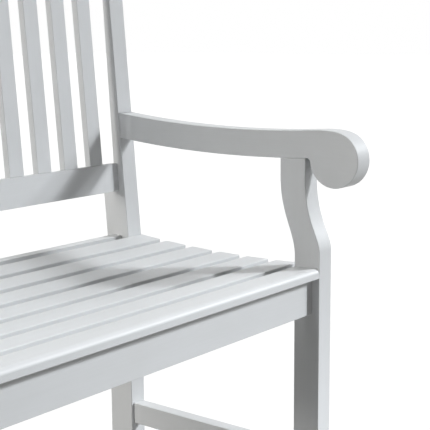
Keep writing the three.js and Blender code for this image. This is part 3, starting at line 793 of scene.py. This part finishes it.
def add_side_rails(side, hand):
    front, rear = FRONT_FACE + LEG_DEPTH + GAP, POST_FACE - GAP
    x = side * SIDE_X
    half = SIDE_RAIL_THICKNESS / 2
    shape = carrier_shape(front, rear, APRON_LOW)
    add_board(f"seat_side_rail_{hand}", shape, x - half, x + half, SLIGHT, SIDE, "u")
    half = STRETCHER_THICKNESS / 2
    low = STRETCHER_TOP - STRETCHER_HEIGHT
    outline = box_outline(x - half, x + half, low, STRETCHER_TOP, EASED)
    add_board(f"side_stretcher_{hand}", outline, -rear, -front, RAIL_END_EDGE, LENGTHWISE, "w")


# Cross rails


def nut_place(rail, side):
    """In the middle of a rail's thickness, with w pointing to the back."""
    depth, height, matrix, _ = BOLT_SPOTS[rail]
    x = side * (INNER_WIDTH / 2 - NUT_FROM_END)
    return matrix @ Matrix.Translation((x, depth, height)) @ Matrix.Rotation(-math.pi / 2, 4, "X")


def nut_hole(rail, side):
    """From the rail's rear face to just past the nut."""
    half = BOLT_SPOTS[rail][3] / 2
    face = nut_place(rail, side) @ Matrix.Translation((0, 0, half))
    place = face @ Matrix.Rotation(math.pi, 4, "X")
    return sunk_hole(place, NUT_HOLE_RADIUS, half + NUT_LENGTH / 2 + GAP)


def add_cross_rails():
    half = INNER_WIDTH / 2 - GAP
    apron_top = under_slats_at(FRONT_APRON_Y + APRON_THICKNESS)
    sections = {
        "front_apron": (FRONT_APRON_Y, APRON_LOW, apron_top, APRON_THICKNESS, SIDE),
        "rear_apron": (REAR_APRON_Y, APRON_LOW, SEAT_HEIGHT + REAR_APRON_RISE, APRON_THICKNESS, SIDE),
        "back_lower_rail": (
            BACK_RAIL_SET,
            BACK_RAIL_LOW,
            BACK_RAIL_LOW + BACK_RAIL_HEIGHT,
            BACK_RAIL_THICKNESS,
            BACK @ SIDE,
        ),
    }
    for name, (face, low, high, thickness, place) in sections.items():
        outline = box_outline(face, face + thickness, low, high, SLIGHT)
        holes = [nut_hole(name, side) for side in (-1, 1)]
        add_board(name, outline, -half, half, RAIL_END_EDGE, place, "w", cutters=holes)
    front, rear = -CREST_AHEAD, CREST_DEPTH - CREST_AHEAD
    corners = [(front, CREST_LOW), (rear, CREST_LOW)]
    corners += [(rear, CREST_LOW + CREST_HEIGHT), (front, CREST_LOW + CREST_HEIGHT)]
    outline = rounded(corners, [EASED, EASED, CREST_ROUND, CREST_ROUND], CREST_STEPS)
    half = OUTER_WIDTH / 2
    add_board("crest_rail", outline, -half, half, EASED, BACK @ SIDE, "w")


def add_back_slats():
    pitch = (INNER_WIDTH - 2 * BACK_END_GAP - BACK_SLAT_WIDTH) / (BACK_SLAT_COUNT - 1)
    low, high = BACK_RAIL_LOW + BACK_RAIL_HEIGHT + GAP, CREST_LOW - GAP
    half = BACK_SLAT_WIDTH / 2
    for i in range(BACK_SLAT_COUNT):
        x = pitch * (i - (BACK_SLAT_COUNT - 1) / 2)
        rear = BACK_SLAT_SET + BACK_SLAT_THICKNESS
        outline = box_outline(x - half, x + half, BACK_SLAT_SET, rear, SLAT_EDGE)
        add_board(f"back_slat_{i + 1}", outline, low, high, SLAT_END_EDGE, BACK, "w")


# Fasteners


BOLT_PROFILE = [
    *DOME,
    (BOLT_RADIUS, DOME[-1][1]),
    (BOLT_RADIUS, BOLT_LENGTH - BOLT_TIP_LENGTH),
    (BOLT_TIP_RADIUS, BOLT_LENGTH),
    (0, BOLT_LENGTH),
]
LAG_SHANK_PROFILE = [
    (0, LAG_HEAD_HEIGHT),
    (LAG_RADIUS, LAG_HEAD_HEIGHT),
    (LAG_RADIUS, LAG_POINT_START),
    (0, LAG_LENGTH),
]

# A ring with a lid, which turns the corners off a lag bolt's head
LAG_RING_PROFILE = [
    (0, -RING_ABOVE),
    (RING_RADIUS, -RING_ABOVE),
    (RING_RADIUS, RING_BELOW),
    (LAG_CORNER_RADIUS, RING_BELOW),
    (LAG_CORNER_RADIUS, LAG_CORNER_DEPTH),
    (LAG_FACE_RADIUS, 0),
    (LAG_FACE_RADIUS, RING_LID - RING_ABOVE),
    (0, RING_LID - RING_ABOVE),
]


def hexagon_mesh(name, radius, low, high, place):
    corners = arc(0, 0, radius, 0, 2 * math.pi, 6)[:-1]
    return prism_mesh(name, corners, low, high, HEXAGON_EDGE, place, steps=1)


def bolt_mesh(place):
    socket = hexagon_mesh("socket", SOCKET_RADIUS, -OVERRUN, SOCKET_DEPTH, place)
    return cut(turned_mesh("bolt", BOLT_PROFILE, place), [socket])


def lag_mesh(place):
    head = hexagon_mesh("head", LAG_HEAD_RADIUS, 0, LAG_HEAD_HEIGHT, place)
    head = cut(head, [turned_mesh("ring", LAG_RING_PROFILE, place)])
    return merged([head, turned_mesh("shank", LAG_SHANK_PROFILE, place)])


def merged(meshes):
    points, faces = [], []
    for mesh in meshes:
        base = len(points)
        points += [vertex.co / MM for vertex in mesh.vertices]
        faces += [[base + i for i in polygon.vertices] for polygon in mesh.polygons]
    return new_mesh("merged", points, faces, Matrix.Identity(4))


def nut_mesh(place):
    half = NUT_LENGTH / 2
    face_radius = NUT_RADIUS - NUT_CHAMFER
    profile = [
        (0, -half),
        (face_radius, -half),
        (NUT_RADIUS, -half + NUT_CHAMFER),
        (NUT_RADIUS, half - NUT_CHAMFER),
        (face_radius, half),
        (0, half),
    ]
    past = NUT_OVERRUN
    passage_profile = [(0, -past), (NUT_PASSAGE_RADIUS, -past), (NUT_PASSAGE_RADIUS, past), (0, past)]
    passage = turned_mesh("passage", passage_profile, place @ Matrix.Rotation(math.pi / 2, 4, "Y"))
    outline = box_outline(-past, past, -NUT_SLOT_WIDTH / 2, NUT_SLOT_WIDTH / 2, 0)
    low, high = half - NUT_SLOT_DEPTH, half + SLOT_OVERRUN
    slot = prism_mesh("slot", outline, low, high, NUT_SLOT_EDGE, place, steps=1)
    return cut(turned_mesh("nut", profile, place), [passage, slot])


def add_fasteners():
    for side, hand in SIDES:
        for rail in BOLT_SPOTS:
            sunk = Matrix.Translation((0, 0, BOLT_SINK))
            bolt = bolt_mesh(bolt_place(rail, side) @ sunk)
            add_piece(f"{rail}_bolt_{hand}", bolt, "zinc_steel", sharp=BOLT_CREASE)
            nut = nut_mesh(nut_place(rail, side))
            add_piece(f"{rail}_nut_{hand}", nut, "zinc_steel", sharp=BOLT_CREASE)
        for name, place in zip(("front_foot_lag", "rear_foot_lag", "arm_lag"), lag_places(side)):
            lag = lag_mesh(place @ Matrix.Translation((0, 0, LAG_SINK)))
            add_piece(f"{name}_bolt_{hand}", lag, "zinc_steel", sharp=LAG_CREASE)


# Studio


FLOOR_REACH = 30
FLOOR_COLOUR = (0.224, 0.22, 0.213, 1)
FLOOR_GLOW = 0.87
WHITE = (1, 1, 1, 1)
SOFT_LIGHT = 0.02
KEY_COLOUR = (0.935, 0.968, 1)
SKY_COLOUR = (0.955, 0.98, 1)
FILL_COLOUR = (1, 0.99, 0.96)


def seen_directly(tree):
    """1 for rays from the camera, a mirror or glass, and 0 for rays that gather light for a dull surface."""
    rays = node(tree, "ShaderNodeLightPath").outputs
    seen = maths(tree, "MAXIMUM", rays["Is Camera Ray"], rays["Is Glossy Ray"])
    return maths(tree, "MAXIMUM", seen, rays["Is Transmission Ray"])


def add_floor():
    """White to the camera but for the bench's shadow, and no lamp to the bench."""
    material, tree, shader = new_material("floor")
    shader.inputs["Base Color"].default_value = FLOOR_COLOUR
    shader.inputs["Roughness"].default_value = 0.9
    shader.inputs["Specular IOR Level"].default_value = 0.1
    glow = maths(tree, "MULTIPLY", seen_directly(tree), FLOOR_GLOW)
    white = node(tree, "ShaderNodeEmission", {"Strength": glow})
    both = node(tree, "ShaderNodeAddShader", {0: shader.outputs["BSDF"], 1: white.outputs["Emission"]})
    tree.links.new(both.outputs["Shader"], tree.nodes["Material Output"].inputs["Surface"])
    corners = box_outline(-FLOOR_REACH, FLOOR_REACH, -FLOOR_REACH, FLOOR_REACH, 0)
    mesh = bpy.data.meshes.new("floor")
    mesh.from_pydata([(*corner, 0) for corner in corners], [], [(0, 1, 2, 3)])
    mesh.materials.append(material)
    floor = bpy.data.objects.new("floor", mesh)
    scene.collection.objects.link(floor)


def add_surroundings():
    """White to the camera, and a faint even light from all round."""
    world = bpy.data.worlds.new("studio")
    scene.world = world
    world.use_nodes = True
    tree = world.node_tree
    soft = tree.nodes["Background"]
    soft.inputs["Color"].default_value = WHITE
    soft.inputs["Strength"].default_value = SOFT_LIGHT
    bright = node(tree, "ShaderNodeBackground", {"Color": WHITE, "Strength": 1})
    shaders = {1: soft.outputs["Background"], 2: bright.outputs["Background"]}
    mix = node(tree, "ShaderNodeMixShader", {0: seen_directly(tree), **shaders})
    tree.links.new(mix.outputs["Shader"], tree.nodes["World Output"].inputs["Surface"])


def add_lamp(name, kind, towards, energy, colour):
    """A lamp that shines from the direction given, which points from the bench to the lamp."""
    lamp = bpy.data.lights.new(name, kind)
    lamp.energy = energy
    lamp.color = colour
    made = bpy.data.objects.new(name, lamp)
    made.rotation_mode = "QUATERNION"
    made.rotation_quaternion = towards.to_track_quat("Z", "Y")
    scene.collection.objects.link(made)
    return lamp, made


def sun(name, towards, strength, degrees, colour):
    lamp, _ = add_lamp(name, "SUN", Vector(towards), strength, colour)
    lamp.angle = math.radians(degrees)


def spot(name, towards, aim, distance, watts, degrees, radius, colour):
    """A lamp at a distance from the place it aims at, with a cone that fades to its edge."""
    towards = Vector(towards).normalized()
    lamp, made = add_lamp(name, "SPOT", towards, watts, colour)
    made.location = Vector(aim) + towards * distance
    lamp.shadow_soft_size = radius
    lamp.spot_size = math.radians(degrees)
    lamp.spot_blend = 1


def add_lights():
    sun("key", towards=(1.1, -1, 0.86), strength=1.46, degrees=4.5, colour=KEY_COLOUR)
    sun("key_high", towards=(1.1, -1, 1), strength=0.46, degrees=4.5, colour=KEY_COLOUR)
    sun("key_right", towards=(1.5, -1, 0.85), strength=0.6, degrees=4.5, colour=KEY_COLOUR)
    sun("left_high", towards=(-1, 0.3, 0.8), strength=0.93, degrees=40, colour=FILL_COLOUR)
    sun("left_back", towards=(-2, 1, 0.5), strength=0.84, degrees=10, colour=FILL_COLOUR)
    sun("overhead", towards=(0.25, 0.1, 1), strength=0.56, degrees=45, colour=SKY_COLOUR)
    # Aimed below the floor, so that the fading edge of its cone lights the low front
    spot(
        "near_spot",
        towards=(1.1, -1, 0.86),
        aim=(0.05, -0.4, -0.55),
        distance=8,
        watts=2000,
        degrees=16,
        radius=0.3,
        colour=KEY_COLOUR,
    )


# Camera


# Place of the eye from the right leg's inner front edge, at the seat's height, for legs 38 mm wide
FITTED_LEG_WIDTH = 38
EYE_LEFT = 1522.3
EYE_AHEAD = 988.1
EYE_ABOVE = 398.4

# It looks to the back, turned to the right, then down, and then rolled
YAW = math.radians(51.39)
PITCH = math.radians(9.70)
ROLL = math.radians(-0.391)


def add_camera():
    """The photo's camera, brought to the bench's real size."""
    scale = LEG_WIDTH / FITTED_LEG_WIDTH
    eye_x = INNER_WIDTH / 2 - EYE_LEFT * scale
    eye = Vector((eye_x, FRONT_FACE - EYE_AHEAD * scale, SEAT_HEIGHT + EYE_ABOVE * scale)) * MM
    level_forward = math.cos(PITCH)
    forward = Vector((math.sin(YAW) * level_forward, math.cos(YAW) * level_forward, -math.sin(PITCH)))
    level = Vector((math.cos(YAW), -math.sin(YAW), 0))
    upright = level.cross(forward)
    right = level * math.cos(ROLL) + upright * math.sin(ROLL)
    up = upright * math.cos(ROLL) - level * math.sin(ROLL)
    data = bpy.data.cameras.new("camera")
    data.sensor_width = 36
    data.lens = 90.42
    data.clip_start = 0.05
    data.clip_end = 200
    camera = bpy.data.objects.new("camera", data)
    turned = Matrix((right, up, -forward)).transposed().to_4x4()
    camera.matrix_world = Matrix.Translation(eye) @ turned
    scene.collection.objects.link(camera)
    scene.camera = camera


add_side_frames()
add_seat()
add_cross_rails()
add_back_slats()
add_fasteners()
add_floor()
add_surroundings()
add_lights()
add_camera()
